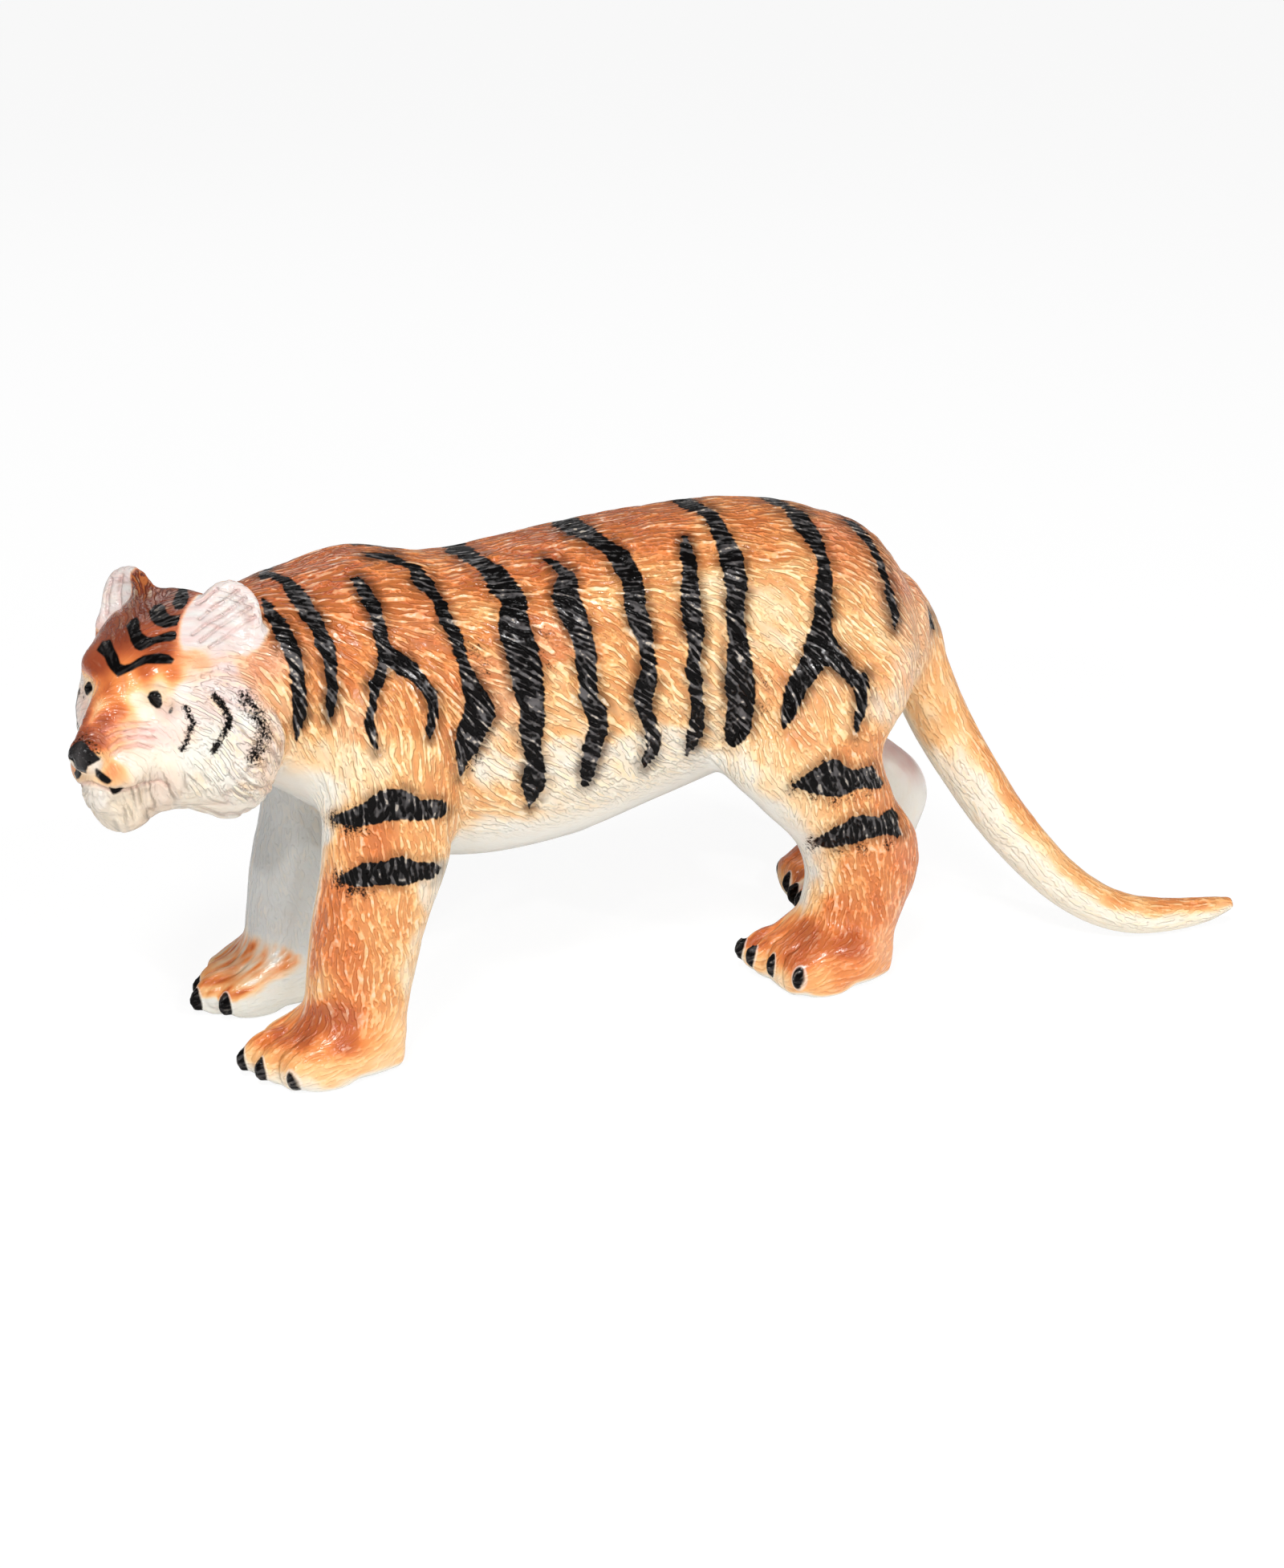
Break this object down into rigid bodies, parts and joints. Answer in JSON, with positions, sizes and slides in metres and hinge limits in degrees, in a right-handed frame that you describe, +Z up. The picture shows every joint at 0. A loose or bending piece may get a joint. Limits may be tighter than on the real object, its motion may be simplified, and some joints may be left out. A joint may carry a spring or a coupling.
{
  "type": "stuffed toy tiger",
  "caption": "Standing toy tiger of soft painted vinyl over a fibre filling, head turned to one side and tail trailing, with flat soles to stand on.",
  "frame": {"origin": "middle of the box's underside, on the surface that the paws stand on", "axes": "+Z up, -X towards the nose, +X towards the tail's tip, -Y towards the tiger's left side, to which the head is turned"},
  "size_m": [0.2762, 0.0724, 0.1126],
  "materials": {
    "painted_vinyl": "satin soft vinyl, moulded fur, airbrushed orange, cream and black",
    "plain_vinyl": "satin, unpainted white soft vinyl",
    "polyester_fibre": "loose white filling fibre"
  },
  "bodies": {
    "root": {"trunk_skin": "painted_vinyl", "head_skin": "painted_vinyl", "ear_left": "painted_vinyl", "ear_right": "painted_vinyl", "foreleg_left": "painted_vinyl", "foreleg_right": "painted_vinyl", "hindleg_left": "painted_vinyl", "hindleg_right": "painted_vinyl", "tail": "painted_vinyl", "belly_plug": "plain_vinyl", "fibre_filling": "polyester_fibre"}
  },
  "joints": []
}
